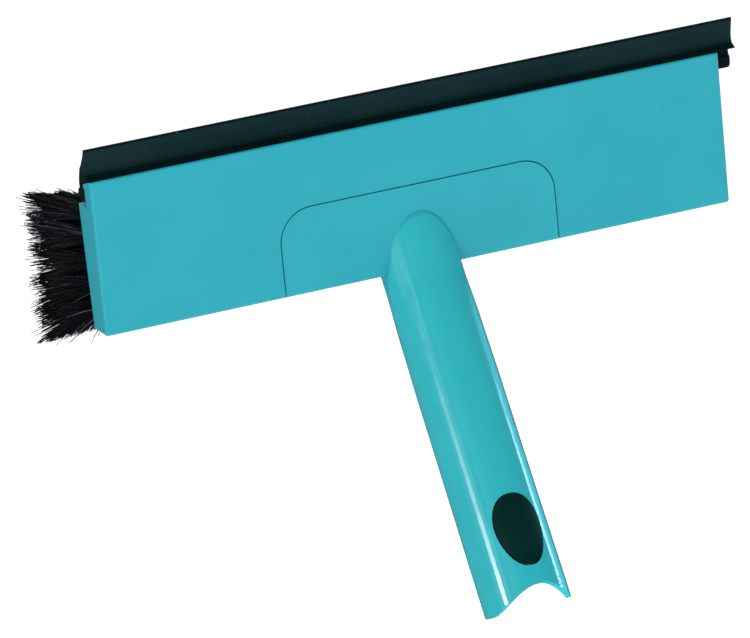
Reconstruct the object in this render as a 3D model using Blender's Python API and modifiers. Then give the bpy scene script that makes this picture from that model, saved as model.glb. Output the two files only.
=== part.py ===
"""Window squeegee with a rubber blade, a bristle brush behind it and a click-in pole socket.

The head stands upright with its long side along X. The front face looks along -Y and the
blade points up along +Z. The origin lies on the front face, above the handle's plate.
The handle leaves the head downwards and forwards, at HANDLE_TILT to the front face.
"""

from math import cos, pi, radians, sin, sqrt

import bmesh
import bpy
from mathutils import Matrix, Vector

MM = 0.001

# --- Gaps that touching pieces keep ---
FIT_GAP = 0.3 * MM
SEAM_GAP = 0.5 * MM
BUTTON_GAP = 0.5 * MM
PIN_PLAY = 0.2 * MM
OVERLAP = 0.6 * MM  # how far joined shapes run into each other
TRIM = 1 * MM  # how far a shape runs past the outline that trims it
BEYOND = 30 * MM  # how far a cutter runs past what it cuts
TOUCH = 0.01 * MM  # how near a point counts as on a plane

# --- Head: lengths along X, heights above the face's bottom edge, depths behind the face ---
HEAD_LENGTH = 281 * MM
FACE_HEIGHT = 65.3 * MM
FACE_ORIGIN_HEIGHT = 50 * MM
FACE_EDGE_RADIUS = 1.3 * MM
FRONT_WALL = 2.6 * MM
BOTTOM_WALL = 2.4 * MM
END_WALL = 2.4 * MM
DEPTH_AT_BOTTOM = 12.7 * MM
DEPTH_AT_TOP = 15.6 * MM
END_WALL_TOP = FACE_HEIGHT - 12.2 * MM
WEB_THICKNESS = 2.3 * MM
WEB_DEPTH = 12.4 * MM
WEB_CUT = 1 * MM

# --- Blade channel, and the blade ---
RAIL_DEPTH = 7.1 * MM
RAIL_HOOK = 1.1 * MM
RAIL_DROP = 2.6 * MM
HOOK_HEIGHT = 1.1 * MM
LIP_FOOT_DEPTH = 1.5 * MM
NECK_WIDTH = 4.0 * MM
BEAD_WIDTH = 7.0 * MM
BEAD_HEIGHT = 5.6 * MM
BEAD_CHAMFER = 1 * MM
BEAD_LIFT = 1.4 * MM
BLADE_RISE = 12.7 * MM
BLADE_TIP_THICKNESS = 0.9 * MM
BLADE_TIP_DEPTH = 3.0 * MM
BLADE_OVERHANG = 8.5 * MM
# The lip's two faces as (depth behind the tip's front, height above the face), from tip to foot
# in front and from foot to tip behind: hollow where the lip bends, full where it meets the face.
LIP_FRONT = ((0.1, 11.4), (0.9, 8.6), (1.6, 5.6), (1.7, 3.4), (1.1, 1.6), (-1.1, 0.4))
LIP_BACK = ((8.8, 0), (7.6, 3.2), (5.2, 5.8), (2.5, 9.4))

# --- Handle plate, let into the face ---
PLATE_WIDTH = 122.4 * MM
PLATE_HEIGHT = 36.2 * MM
PLATE_CORNER_RADIUS = 14 * MM
PLATE_THICKNESS = 5.2 * MM
FLANGE_MARGIN = 5 * MM
FLANGE_STEP = 0.2 * MM

# --- Handle tube: lengths along its axis, from where the axis meets the face plane ---
HANDLE_TILT = radians(32.8)
AXIS_BELOW_EDGE = 5.8 * MM
ROOT_RADIUS = 16.8 * MM
ROOT_START = -60 * MM
NECK_RADIUS = 17.4 * MM
NECK_AT = 20 * MM
GRIP_RADIUS = 17.75 * MM
GRIP_AT = 50 * MM
MOUTH_RADIUS = 18.1 * MM
HANDLE_LENGTH = 143.8 * MM
TUBE_BORE_RADIUS = 15.8 * MM
CORE_BORE_RADIUS = TUBE_BORE_RADIUS - 1.4 * MM
CORE_BORE_START = 22 * MM
ADAPTER_SEAT = 62 * MM
# Crests and hollows of the wavy mouth: (degrees round the tube from its ridge, depth of the rim).
MOUTH_WAVE = ((4, 6.9 * MM), (66, 0.3 * MM), (142, 19.5 * MM), (283, 0))

# --- Button window in the tube ---
WINDOW_START = 98 * MM
WINDOW_LENGTH = 31.2 * MM
WINDOW_HALF_WIDTH = 10 * MM
WINDOW_FULLNESS = 0.85
WINDOW_EGG = 0.12

# --- Pole adapter and latch inside the tube ---
POLE_BORE_RADIUS = TUBE_BORE_RADIUS - 5.4 * MM
ADAPTER_END_WALL = 2.5 * MM
ADAPTER_FLOOR_WALL = 1.2 * MM
ADAPTER_RECESS = 10 * MM
PIVOT_AT = 93 * MM
PIVOT_HEIGHT = TUBE_BORE_RADIUS - 2.9 * MM
PIN_RADIUS = 0.9 * MM
BARREL_RADIUS = 2.0 * MM
ARM_WIDTH = 6.4 * MM
LUG_THICKNESS = 2.1 * MM
LUG_LENGTH = 6 * MM
ARM_ROOM = 1 * MM
FLAT_MARGIN = 2.5 * MM
ARM_UNDER_BUTTON = 5 * MM
ARM_START = 71.5 * MM
ARM_TAIL_TOP = TUBE_BORE_RADIUS - 2.1 * MM
ARM_BOTTOM = TUBE_BORE_RADIUS - 3.5 * MM
TOOTH_LENGTH = 5 * MM
TOOTH_ENGAGEMENT = 1.1 * MM
BUTTON_UNDERSIDE = TUBE_BORE_RADIUS - 1.4 * MM
BUTTON_SINK = 0.15 * MM
SPRING_RADIUS = 2.6 * MM
SPRING_WIRE_RADIUS = 0.28 * MM
SPRING_TURNS = 3.5
SPRING_AT = 112 * MM
BUTTON_CROWN = 1.5 * MM

# --- Brush ---
BLOCK_FRONT = 8.4 * MM
BLOCK_BACK_RECESS = 0.6 * MM
REAR_RAIL_THICKNESS = 1.6 * MM
REAR_HOOK_HEIGHT = 1.9 * MM
REAR_HOOK_CHAMFER = 1.3 * MM
ROW_COUNT = 5
FIRST_ROW_HEIGHT = 8.5 * MM
ROW_PITCH = 9 * MM
ROW_SLOT_HEIGHT = 3.2 * MM
ROW_SLOT_DEPTH = 2.5 * MM
ROW_END_MARGIN = 8 * MM
BRISTLE_TIP_DEPTH = 47 * MM
BRISTLE_END_SPLAY = 22 * MM
FIRST_TIP_HEIGHT = -5 * MM
TIP_PITCH = 12.3 * MM
TIP_GAP = 0.5 * MM

# --- Screws that hold the brush block ---
BOSS_RADIUS = 3.5 * MM
BOSS_TOP_GAP = 0.3 * MM
SCREW_RADIUS = 1.2 * MM
SCREW_LENGTH = 8.5 * MM
SCREW_HEAD_RADIUS = 2.4 * MM
SCREW_HEAD_HEIGHT = 1.6 * MM
SCREW_RECESS_DEPTH = 0.9 * MM
SCREW_RECESS_RADIUS = 1.1 * MM
SCREW_SLOT_HALF = 0.35 * MM
SHELL_SCREW_COLUMNS = (80 * MM, 124 * MM)
HANDLE_SCREW_COLUMN = 48 * MM

ROUND_SIDES = 64
SMALL_SIDES = 24
EDGE_STEPS = 6
SMOOTH_ANGLE = radians(22)
COIL_SMOOTH_ANGLE = radians(60)

# Handle frame: X along the head, Y out of the handle's ridge, Z down its axis to the mouth.
HANDLE_FRAME = Matrix.Translation((0, 0, -AXIS_BELOW_EDGE - FACE_ORIGIN_HEIGHT)) @ Matrix.Rotation(
    pi - HANDLE_TILT, 4, "X"
)
# Section frame: an outline drawn as (depth, height) is extruded along the head.
SECTION_FRAME = Matrix(
    ((0, 0, 1, 0), (1, 0, 0, 0), (0, 1, 0, -FACE_ORIGIN_HEIGHT), (0, 0, 0, 1))
)
# Face frame: an outline drawn as (along the head, height) is extruded into the depth.
FACE_FRAME = Matrix(
    ((1, 0, 0, 0), (0, 0, -1, 0), (0, 1, 0, -FACE_ORIGIN_HEIGHT), (0, 0, 0, 1))
)


def clear_scene():
    for obj in list(bpy.data.objects):
        bpy.data.objects.remove(obj, do_unlink=True)


def new_collection(name):
    collection = bpy.data.collections.new(name)
    bpy.context.scene.collection.children.link(collection)
    return collection


def material(name, color, roughness, metallic=0.0):
    made = bpy.data.materials.new(name)
    made.use_nodes = True
    shader = made.node_tree.nodes["Principled BSDF"]
    shader.inputs["Base Color"].default_value = (*color, 1)
    shader.inputs["Roughness"].default_value = roughness
    shader.inputs["Metallic"].default_value = metallic
    return made


def add_object(name, mesh, frame=Matrix()):
    """A new object with this mesh, in the cutters' collection until it is kept."""
    obj = bpy.data.objects.new(name, mesh)
    obj.matrix_world = frame
    obj.hide_render = True
    obj.display_type = "WIRE"
    cutters.objects.link(obj)
    return obj


def evaluated_mesh(obj):
    bpy.context.view_layer.update()
    graph = bpy.context.evaluated_depsgraph_get()
    return bpy.data.meshes.new_from_object(obj.evaluated_get(graph))


def keep(obj, finish, smooth_angle=None):
    """Makes a finished shape a part of the object: its modifiers applied, and its material on."""
    name = obj.name
    mesh = evaluated_mesh(obj)
    frame = obj.matrix_world.copy()
    bpy.data.objects.remove(obj)
    mesh.name = name
    mesh.materials.clear()
    mesh.materials.append(finish)
    if smooth_angle is not None:
        mesh.shade_smooth()
        mesh.set_sharp_from_angle(angle=smooth_angle)
    part = bpy.data.objects.new(name, mesh)
    part.matrix_world = frame
    parts.objects.link(part)
    return part


def outline_solid(name, points, start, end, frame):
    """A flat outline, extruded along the frame's Z from start to end."""
    curve = bpy.data.curves.new(name, "CURVE")
    curve.dimensions = "2D"
    curve.fill_mode = "BOTH"
    curve.extrude = (end - start) / 2
    spline = curve.splines.new("POLY")
    spline.points.add(len(points) - 1)
    for point, (x, y) in zip(spline.points, points):
        point.co = (x, y, 0, 1)
    spline.use_cyclic_u = True
    flat = bpy.data.objects.new(name + "_outline", curve)
    cutters.objects.link(flat)
    mesh = evaluated_mesh(flat)
    bpy.data.objects.remove(flat)
    weld(mesh)
    mesh.transform(Matrix.Translation((0, 0, (start + end) / 2)))
    return add_object(name, mesh, frame)


def weld(mesh):
    shape = bmesh.new()
    shape.from_mesh(mesh)
    bmesh.ops.remove_doubles(shape, verts=shape.verts, dist=0.001 * MM)
    bmesh.ops.recalc_face_normals(shape, faces=shape.faces)
    shape.to_mesh(mesh)
    shape.free()


def box(name, low, high, frame=Matrix()):
    """A box between two corners of the frame."""
    low, high = Vector(low), Vector(high)
    size = high - low
    shape = bmesh.new()
    bmesh.ops.create_cube(
        shape, size=1, matrix=Matrix.Translation((low + high) / 2) @ Matrix.Diagonal((*size, 1))
    )
    mesh = bpy.data.meshes.new(name)
    shape.to_mesh(mesh)
    shape.free()
    return add_object(name, mesh, frame)


def cylinder(name, radius, start, end, frame=Matrix(), sides=SMALL_SIDES):
    """A cylinder between two points of the frame."""
    start, end = Vector(start), Vector(end)
    axis = end - start
    turn = axis.to_track_quat("Z", "Y").to_matrix().to_4x4()
    shape = bmesh.new()
    bmesh.ops.create_cone(
        shape,
        cap_ends=True,
        segments=sides,
        radius1=radius,
        radius2=radius,
        depth=axis.length,
        matrix=Matrix.Translation((start + end) / 2) @ turn,
    )
    mesh = bpy.data.meshes.new(name)
    shape.to_mesh(mesh)
    shape.free()
    return add_object(name, mesh, frame)


def turned(name, profile, frame=Matrix(), sides=ROUND_SIDES):
    """A profile of (radius, height) turned about the frame's Z, from its top down its outer side."""
    mesh = bpy.data.meshes.new(name)
    vertices = [(radius, 0, height) for radius, height in profile]
    edges = [(i, i + 1) for i in range(len(profile) - 1)]
    mesh.from_pydata(vertices, edges, [])
    obj = add_object(name, mesh, frame)
    screw = obj.modifiers.new("Turn", "SCREW")
    screw.steps = sides
    screw.render_steps = sides
    screw.use_merge_vertices = True
    screw.merge_threshold = 0.00001
    screw.use_normal_calculate = True
    return obj


def combine(target, other, operation, solver="EXACT"):
    change = target.modifiers.new(other.name, "BOOLEAN")
    change.operation = operation
    change.solver = solver
    change.object = other


def cut(target, *others):
    for other in others:
        combine(target, other, "DIFFERENCE")


def join(target, *others):
    for other in others:
        combine(target, other, "UNION")


def arc(center, radius, start_degrees, end_degrees, steps=8):
    """Points on an arc, both ends included."""
    angles = [
        radians(start_degrees + (end_degrees - start_degrees) * i / steps) for i in range(steps + 1)
    ]
    return [(center[0] + radius * cos(a), center[1] + radius * sin(a)) for a in angles]


def round_edges(obj, radius, segments, chosen):
    """Rounds the mesh edges that pass the test, which takes an edge's two ends."""
    shape = bmesh.new()
    shape.from_mesh(obj.data)
    edges = [edge for edge in shape.edges if chosen(*(vert.co for vert in edge.verts))]
    bmesh.ops.bevel(
        shape, geom=edges, offset=radius, segments=segments, profile=0.5, affect="EDGES"
    )
    shape.to_mesh(obj.data)
    shape.free()


# --- Head -------------------------------------------------------------------------------


def back_depth(height):
    """Depth of the shell's back edge at this height above the bottom edge."""
    return DEPTH_AT_BOTTOM + (DEPTH_AT_TOP - DEPTH_AT_BOTTOM) * height / END_WALL_TOP


RAIL_TOP = FACE_HEIGHT - RAIL_DROP
NECK_FRONT = RAIL_DEPTH + RAIL_HOOK + FIT_GAP
BEAD_FRONT = RAIL_DEPTH + FIT_GAP
BEAD_BACK = BEAD_FRONT + BEAD_WIDTH
NECK_BACK = NECK_FRONT + NECK_WIDTH
BEAD_BOTTOM = END_WALL_TOP + FIT_GAP + BEAD_LIFT
BEAD_TOP = BEAD_BOTTOM + BEAD_HEIGHT


def shell_section():
    return [
        (0, 0),
        (DEPTH_AT_BOTTOM, 0),
        (DEPTH_AT_TOP, END_WALL_TOP),
        (RAIL_DEPTH, END_WALL_TOP),
        (RAIL_DEPTH, RAIL_TOP - HOOK_HEIGHT - RAIL_HOOK),
        (RAIL_DEPTH + RAIL_HOOK, RAIL_TOP - HOOK_HEIGHT),
        (RAIL_DEPTH + RAIL_HOOK, RAIL_TOP),
        (0, FACE_HEIGHT),
    ]


def cavity_section():
    web_bottom = END_WALL_TOP - WEB_THICKNESS
    return [
        (FRONT_WALL, BOTTOM_WALL),
        (BEYOND, BOTTOM_WALL),
        (BEYOND, END_WALL_TOP + WEB_CUT),
        (WEB_DEPTH, END_WALL_TOP + WEB_CUT),
        (WEB_DEPTH, web_bottom),
        (FRONT_WALL, web_bottom),
    ]


def plate_outline(margin, bottom):
    """The handle plate's outline grown by a margin, with round top corners and an open bottom."""
    half = PLATE_WIDTH / 2 + margin
    top = PLATE_HEIGHT + margin
    radius = PLATE_CORNER_RADIUS + margin
    right = arc((half - radius, top - radius), radius, 0, 90)
    left = arc((radius - half, top - radius), radius, 90, 180)
    return [(half, bottom), *right, *left, (-half, bottom)]


def row_height(row):
    return FIRST_ROW_HEIGHT + row * ROW_PITCH


def screw_places():
    """(along, height, piece) of each block screw, midway between two bristle rows."""
    low = row_height(0) + ROW_PITCH / 2
    middle = row_height(1) + ROW_PITCH / 2
    high = row_height(3) + ROW_PITCH / 2
    places = []
    for side in (-1, 1):
        inner, outer = SHELL_SCREW_COLUMNS
        places.append((side * outer, low, "shell"))
        places.append((side * outer, high, "shell"))
        places.append((side * inner, high, "shell"))
        places.append((side * HANDLE_SCREW_COLUMN, middle, "handle"))
    return places


def add_bosses(target, piece, wall):
    """Screw bosses behind a wall of the shell or of the handle's plate, each with its hole."""
    for index, (along, height, owner) in enumerate(screw_places()):
        if owner != piece:
            continue
        z = height - FACE_ORIGIN_HEIGHT
        tip = screw_seat_depth(height) - SCREW_LENGTH
        boss = cylinder(
            f"boss_{piece}_{index}",
            BOSS_RADIUS,
            (along, wall - OVERLAP, z),
            (along, BLOCK_FRONT - BOSS_TOP_GAP, z),
        )
        hole = cylinder(
            f"boss_hole_{piece}_{index}",
            SCREW_RADIUS + FIT_GAP,
            (along, tip - FIT_GAP, z),
            (along, BLOCK_FRONT + BEYOND, z),
        )
        join(target, boss)
        cut(target, hole)


def screw_seat_depth(height):
    """Depth at which a screw's head seats in the block."""
    return block_back(height) - SCREW_HEAD_HEIGHT - FIT_GAP


def block_back(height):
    return back_depth(height) - BLOCK_BACK_RECESS


def in_shell_rim(a, b):
    """True for an edge of the front face, and for the bottom corner at each end."""
    on_face = max(abs(a.x), abs(b.x)) < TOUCH
    bottom_corner = max(abs(a.y), abs(b.y), abs(a.z - b.z)) < TOUCH
    return on_face or bottom_corner


def make_shell(finish):
    half = HEAD_LENGTH / 2
    shell = outline_solid("head_shell", shell_section(), -half, half, SECTION_FRAME)
    round_edges(shell, FACE_EDGE_RADIUS, EDGE_STEPS, in_shell_rim)
    inside = half - END_WALL
    cut(shell, outline_solid("shell_cavity", cavity_section(), -inside, inside, SECTION_FRAME))
    add_bosses(shell, "shell", FRONT_WALL)
    window = plate_outline(SEAM_GAP, -BEYOND)
    cut(shell, outline_solid("plate_window", window, -FRONT_WALL - FIT_GAP, BEYOND, FACE_FRAME))
    notch_half = PLATE_WIDTH / 2 + SEAM_GAP
    floor = -FACE_ORIGIN_HEIGHT
    notch = box(
        "bottom_notch",
        (-notch_half, -BEYOND, floor - BEYOND),
        (notch_half, BEYOND, floor + BOTTOM_WALL + FIT_GAP),
    )
    cut(shell, notch)
    return keep(shell, finish, SMOOTH_ANGLE)


def lip_points(curve):
    return [(BLADE_TIP_DEPTH + depth * MM, FACE_HEIGHT + height * MM) for depth, height in curve]


def blade_section():
    """Blade profile as (depth, height), from the tip down the front and up the back."""
    top = FACE_HEIGHT + BLADE_RISE
    bead_radius = BEAD_WIDTH / 2
    bead_middle = (BEAD_FRONT + bead_radius, BEAD_BOTTOM + bead_radius)
    return [
        (BLADE_TIP_DEPTH, top),
        *lip_points(LIP_FRONT),
        (LIP_FOOT_DEPTH, rail_top(LIP_FOOT_DEPTH) + FIT_GAP),
        (NECK_FRONT, rail_top(RAIL_DEPTH + RAIL_HOOK) + FIT_GAP),
        (NECK_FRONT, RAIL_TOP - HOOK_HEIGHT - FIT_GAP),
        (BEAD_FRONT, RAIL_TOP - HOOK_HEIGHT - RAIL_HOOK - FIT_GAP),
        *arc(bead_middle, bead_radius, 180, 360, 12),
        (BEAD_BACK, BEAD_TOP - BEAD_CHAMFER),
        (NECK_BACK, BEAD_TOP),
        (NECK_BACK, RAIL_TOP),
        *lip_points(LIP_BACK),
        (BLADE_TIP_DEPTH + BLADE_TIP_THICKNESS, top),
    ]


def rail_top(depth):
    """Height of the front rail's sloping top at this depth."""
    return FACE_HEIGHT + (RAIL_TOP - FACE_HEIGHT) * depth / (RAIL_DEPTH + RAIL_HOOK)


def make_blade(finish):
    half = HEAD_LENGTH / 2
    blade = outline_solid("rubber_blade", blade_section(), -half, half + BLADE_OVERHANG, SECTION_FRAME)
    return keep(blade, finish, SMOOTH_ANGLE)


def block_section():
    """Brush block profile: a panel inside the shell, and a rear rail that hooks over the bead."""
    bottom = BOTTOM_WALL + FIT_GAP
    top = END_WALL_TOP - WEB_THICKNESS - FIT_GAP
    rail_front = BEAD_BACK + FIT_GAP
    rail_back = rail_front + REAR_RAIL_THICKNESS
    hook_front = NECK_BACK + FIT_GAP
    hook_top = BEAD_TOP + REAR_HOOK_HEIGHT
    web_back = WEB_DEPTH + FIT_GAP
    rail_foot = row_height(ROW_COUNT - 1) + ROW_SLOT_HEIGHT
    return [
        (BLOCK_FRONT, bottom),
        (block_back(bottom), bottom),
        (block_back(rail_foot), rail_foot),
        (rail_back, top + FIT_GAP),
        (rail_back, hook_top - REAR_HOOK_CHAMFER),
        (rail_back - REAR_HOOK_CHAMFER, hook_top),
        (hook_front, hook_top),
        (hook_front, BEAD_TOP + FIT_GAP),
        (rail_front, BEAD_TOP - BEAD_CHAMFER + FIT_GAP),
        (rail_front, END_WALL_TOP),
        (web_back, END_WALL_TOP),
        (web_back, top),
        (BLOCK_FRONT, top),
    ]


def make_block(finish):
    half = HEAD_LENGTH / 2 - END_WALL - FIT_GAP
    block = outline_solid("brush_block", block_section(), -half, half, SECTION_FRAME)
    slot_half = HEAD_LENGTH / 2 - ROW_END_MARGIN
    for row in range(ROW_COUNT):
        z = row_height(row) - FACE_ORIGIN_HEIGHT
        floor = block_back(row_height(row)) - ROW_SLOT_DEPTH
        slot = box(
            f"row_slot_{row + 1}",
            (-slot_half, floor, z - ROW_SLOT_HEIGHT / 2),
            (slot_half, BEYOND, z + ROW_SLOT_HEIGHT / 2),
        )
        cut(block, slot)
    for index, (along, height, _) in enumerate(screw_places()):
        z = height - FACE_ORIGIN_HEIGHT
        seat = screw_seat_depth(height)
        head = cylinder(
            f"head_room_{index}",
            SCREW_HEAD_RADIUS + FIT_GAP,
            (along, seat - FIT_GAP, z),
            (along, BEYOND, z),
        )
        shank = cylinder(
            f"shank_room_{index}", SCREW_RADIUS + FIT_GAP, (along, 0, z), (along, BEYOND, z)
        )
        cut(block, head, shank)
    return keep(block, finish, SMOOTH_ANGLE)


def fan(name, near, far):
    """A block that widens from one end to the other, each (depth, height, half length, half height)."""
    shape = bmesh.new()
    bmesh.ops.create_cube(shape, size=2)
    for vert in shape.verts:
        depth, height, half_length, half_height = far if vert.co.y > 0 else near
        along = vert.co.x * half_length
        up = height + vert.co.z * half_height - FACE_ORIGIN_HEIGHT
        vert.co = (along, depth, up)
    mesh = bpy.data.meshes.new(name)
    shape.to_mesh(mesh)
    shape.free()
    return add_object(name, mesh)


def make_bristle_rows(finish):
    """Each row is one block of bristles: a strip in its slot, which fans out to the tips."""
    root_half_length = HEAD_LENGTH / 2 - ROW_END_MARGIN - FIT_GAP
    root_half_height = ROW_SLOT_HEIGHT / 2 - FIT_GAP
    tip_half_length = root_half_length + BRISTLE_END_SPLAY
    tip_half_height = (TIP_PITCH - TIP_GAP) / 2
    for row in range(ROW_COUNT):
        height = row_height(row)
        z = height - FACE_ORIGIN_HEIGHT
        surface = block_back(height) + FIT_GAP
        near = (surface, height, root_half_length, root_half_height)
        far = (BRISTLE_TIP_DEPTH, FIRST_TIP_HEIGHT + row * TIP_PITCH, tip_half_length, tip_half_height)
        bristles = fan(f"bristle_row_{row + 1}", near, far)
        strip_half_length = root_half_length - FIT_GAP
        strip = box(
            f"row_strip_{row + 1}",
            (-strip_half_length, block_back(height) - ROW_SLOT_DEPTH + FIT_GAP, z - root_half_height),
            (strip_half_length, surface + OVERLAP, z + root_half_height),
        )
        join(bristles, strip)
        keep(bristles, finish)


def make_screws(finish):
    """The block screws share one turned shape, with a cross recess in the head."""
    profile = [
        (0, 0),
        (SCREW_HEAD_RADIUS, 0),
        (SCREW_HEAD_RADIUS, -SCREW_HEAD_HEIGHT),
        (SCREW_RADIUS, -SCREW_HEAD_HEIGHT),
        (SCREW_RADIUS, -SCREW_LENGTH),
        (0, -SCREW_LENGTH - SCREW_HEAD_HEIGHT),
    ]
    model = turned("screw_model", profile, sides=SMALL_SIDES)
    long, short = SCREW_RECESS_RADIUS, SCREW_SLOT_HALF
    for name, half_x, half_y in (("across", long, short), ("upright", short, long)):
        low = (-half_x, -half_y, -SCREW_RECESS_DEPTH)
        high = (half_x, half_y, SCREW_RECESS_DEPTH)
        cut(model, box(f"screw_recess_{name}", low, high))
    mesh = evaluated_mesh(model)
    bpy.data.objects.remove(model)
    mesh.name = "block_screw"
    mesh.materials.clear()
    mesh.materials.append(finish)
    facing_back = Matrix.Rotation(-pi / 2, 4, "X")
    for index, (along, height, _) in enumerate(screw_places()):
        seat = screw_seat_depth(height)
        place = Vector((along, seat + SCREW_HEAD_HEIGHT, height - FACE_ORIGIN_HEIGHT))
        screw = bpy.data.objects.new(f"block_screw_{index + 1}", mesh)
        screw.matrix_world = Matrix.Translation(place) @ facing_back
        parts.objects.link(screw)


# --- Handle -----------------------------------------------------------------------------


def tube_radius(along):
    """Outer radius of the handle tube at this length from the face plane."""
    stations = (
        (ROOT_START, ROOT_RADIUS),
        (0, ROOT_RADIUS),
        (NECK_AT, NECK_RADIUS),
        (GRIP_AT, GRIP_RADIUS),
        (HANDLE_LENGTH, MOUTH_RADIUS),
    )
    for (a, radius_a), (b, radius_b) in zip(stations, stations[1:]):
        if along <= b:
            share = (along - a) / (b - a)
            return radius_a + (radius_b - radius_a) * (share * share * (3 - 2 * share))
    return MOUTH_RADIUS


def tube_profile():
    """Outer profile from the root to past the mouth, for the Screw modifier."""
    steps = 26
    start, end = ROOT_START, HANDLE_LENGTH + TRIM
    stations = [end + (start - end) * i / steps for i in range(steps + 1)]
    return [(0, end), *((tube_radius(s), s) for s in stations), (0, start)]


def mouth_depth(turn):
    """How far the rim lies above the end of the handle at this angle round the tube, in degrees."""
    first, first_depth = MOUTH_WAVE[0]
    places = [*MOUTH_WAVE, (first + 360, first_depth)]
    turn = (turn - first) % 360 + first
    for (a, depth_a), (b, depth_b) in zip(places, places[1:]):
        if turn <= b:
            break
    share = (1 - cos(pi * (turn - a) / (b - a))) / 2
    return depth_a + (depth_b - depth_a) * share


def mouth_cutter(name, recess):
    """A ring whose wavy underside trims the tube's mouth; the recess moves it up the tube."""
    sides = 2 * ROUND_SIDES
    inside, outside = POLE_BORE_RADIUS - 2 * TRIM, MOUTH_RADIUS + 2 * TRIM
    rings = []
    shape = bmesh.new()
    for radius, wavy in ((inside, True), (outside, True), (outside, False), (inside, False)):
        ring = []
        for step in range(sides):
            turn = 360 * step / sides
            height = HANDLE_LENGTH - recess - mouth_depth(turn) if wavy else HANDLE_LENGTH + BEYOND
            place = (radius * sin(radians(turn)), radius * cos(radians(turn)), height)
            ring.append(shape.verts.new(place))
        rings.append(ring)
    for ring, other in zip(rings, rings[1:] + rings[:1]):
        for step in range(sides):
            after = (step + 1) % sides
            shape.faces.new((ring[step], ring[after], other[after], other[step]))
    bmesh.ops.recalc_face_normals(shape, faces=shape.faces)
    mesh = bpy.data.meshes.new(name)
    shape.to_mesh(mesh)
    shape.free()
    return add_object(name, mesh, HANDLE_FRAME)


def egg_outline(gap, end_gap=0):
    """Egg-shaped outline of the button window, shrunk by a gap; its wide end is nearer the head."""
    steps = 40
    half_length = WINDOW_LENGTH / 2 - gap - end_gap / 2
    middle = WINDOW_START + gap + half_length
    half_width = WINDOW_HALF_WIDTH - gap
    points = []
    for i in range(steps):
        turn = 2 * pi * (i + 0.5) / steps
        width = abs(sin(turn)) ** WINDOW_FULLNESS * (1 + WINDOW_EGG * cos(turn))
        side = 1 if sin(turn) > 0 else -1
        points.append((side * half_width * width, middle - half_length * cos(turn)))
    return points


# Window frame: an outline drawn as (across, along the tube) is extruded out of the ridge.
WINDOW_FRAME = HANDLE_FRAME @ Matrix(((1, 0, 0, 0), (0, 0, -1, 0), (0, 1, 0, 0), (0, 0, 0, 1)))


def plate_section():
    """Plate and the sill below it, which closes the head's bottom between the two notches."""
    return [
        (0, 0),
        (DEPTH_AT_BOTTOM, 0),
        (DEPTH_AT_BOTTOM, BOTTOM_WALL),
        (PLATE_THICKNESS, BOTTOM_WALL),
        (PLATE_THICKNESS, PLATE_HEIGHT + TRIM),
        (0, PLATE_HEIGHT + TRIM),
    ]


def make_handle(finish):
    half = PLATE_WIDTH / 2 + TRIM
    handle = outline_solid("handle", plate_section(), -half, half, SECTION_FRAME)
    round_edges(
        handle,
        FACE_EDGE_RADIUS,
        EDGE_STEPS,
        lambda a, b: max(abs(a.x), abs(b.x), abs(a.y), abs(b.y)) < TOUCH,
    )
    outline = outline_solid(
        "plate_outline", plate_outline(0, -TRIM), -DEPTH_AT_BOTTOM - TRIM, TRIM, FACE_FRAME
    )
    combine(handle, outline, "INTERSECT")
    flange = outline_solid(
        "plate_flange",
        plate_outline(FLANGE_MARGIN, BOTTOM_WALL + 2 * FIT_GAP),
        FLANGE_STEP - PLATE_THICKNESS,
        -FRONT_WALL - FIT_GAP,
        FACE_FRAME,
    )
    floor = -FACE_ORIGIN_HEIGHT
    tube = turned("tube_outside", tube_profile(), HANDLE_FRAME)
    behind_plate = box(
        "behind_plate",
        (-BEYOND, PLATE_THICKNESS / 2, floor + BOTTOM_WALL / 2),
        (BEYOND, 4 * BEYOND, floor + 4 * BEYOND),
    )
    behind_head = box(
        "behind_head",
        (-BEYOND, DEPTH_AT_BOTTOM - TOUCH, floor - 4 * BEYOND),
        (BEYOND, 4 * BEYOND, floor + 4 * BEYOND),
    )
    cut(tube, behind_plate, behind_head)
    join(handle, flange, tube)
    core = cylinder(
        "core_bore",
        CORE_BORE_RADIUS,
        (0, 0, CORE_BORE_START),
        (0, 0, HANDLE_LENGTH),
        HANDLE_FRAME,
        ROUND_SIDES,
    )
    bore = cylinder(
        "tube_bore",
        TUBE_BORE_RADIUS,
        (0, 0, ADAPTER_SEAT),
        (0, 0, HANDLE_LENGTH + BEYOND),
        HANDLE_FRAME,
        ROUND_SIDES,
    )
    window = outline_solid(
        "button_window", egg_outline(0), -2 * MOUTH_RADIUS, -POLE_BORE_RADIUS, WINDOW_FRAME
    )
    cut(handle, core, bore)
    for opening in (window, mouth_cutter("mouth", 0)):
        combine(handle, opening, "DIFFERENCE", "MANIFOLD")
    add_bosses(handle, "handle", PLATE_THICKNESS)
    return keep(handle, finish, SMOOTH_ANGLE)


ADAPTER_RADIUS = TUBE_BORE_RADIUS - FIT_GAP
ADAPTER_FLOOR = POLE_BORE_RADIUS + ADAPTER_FLOOR_WALL
ADAPTER_START = ADAPTER_SEAT + FIT_GAP
ARM_HALF = ARM_WIDTH / 2
TOOTH_END = ARM_START + TOOTH_LENGTH


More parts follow.
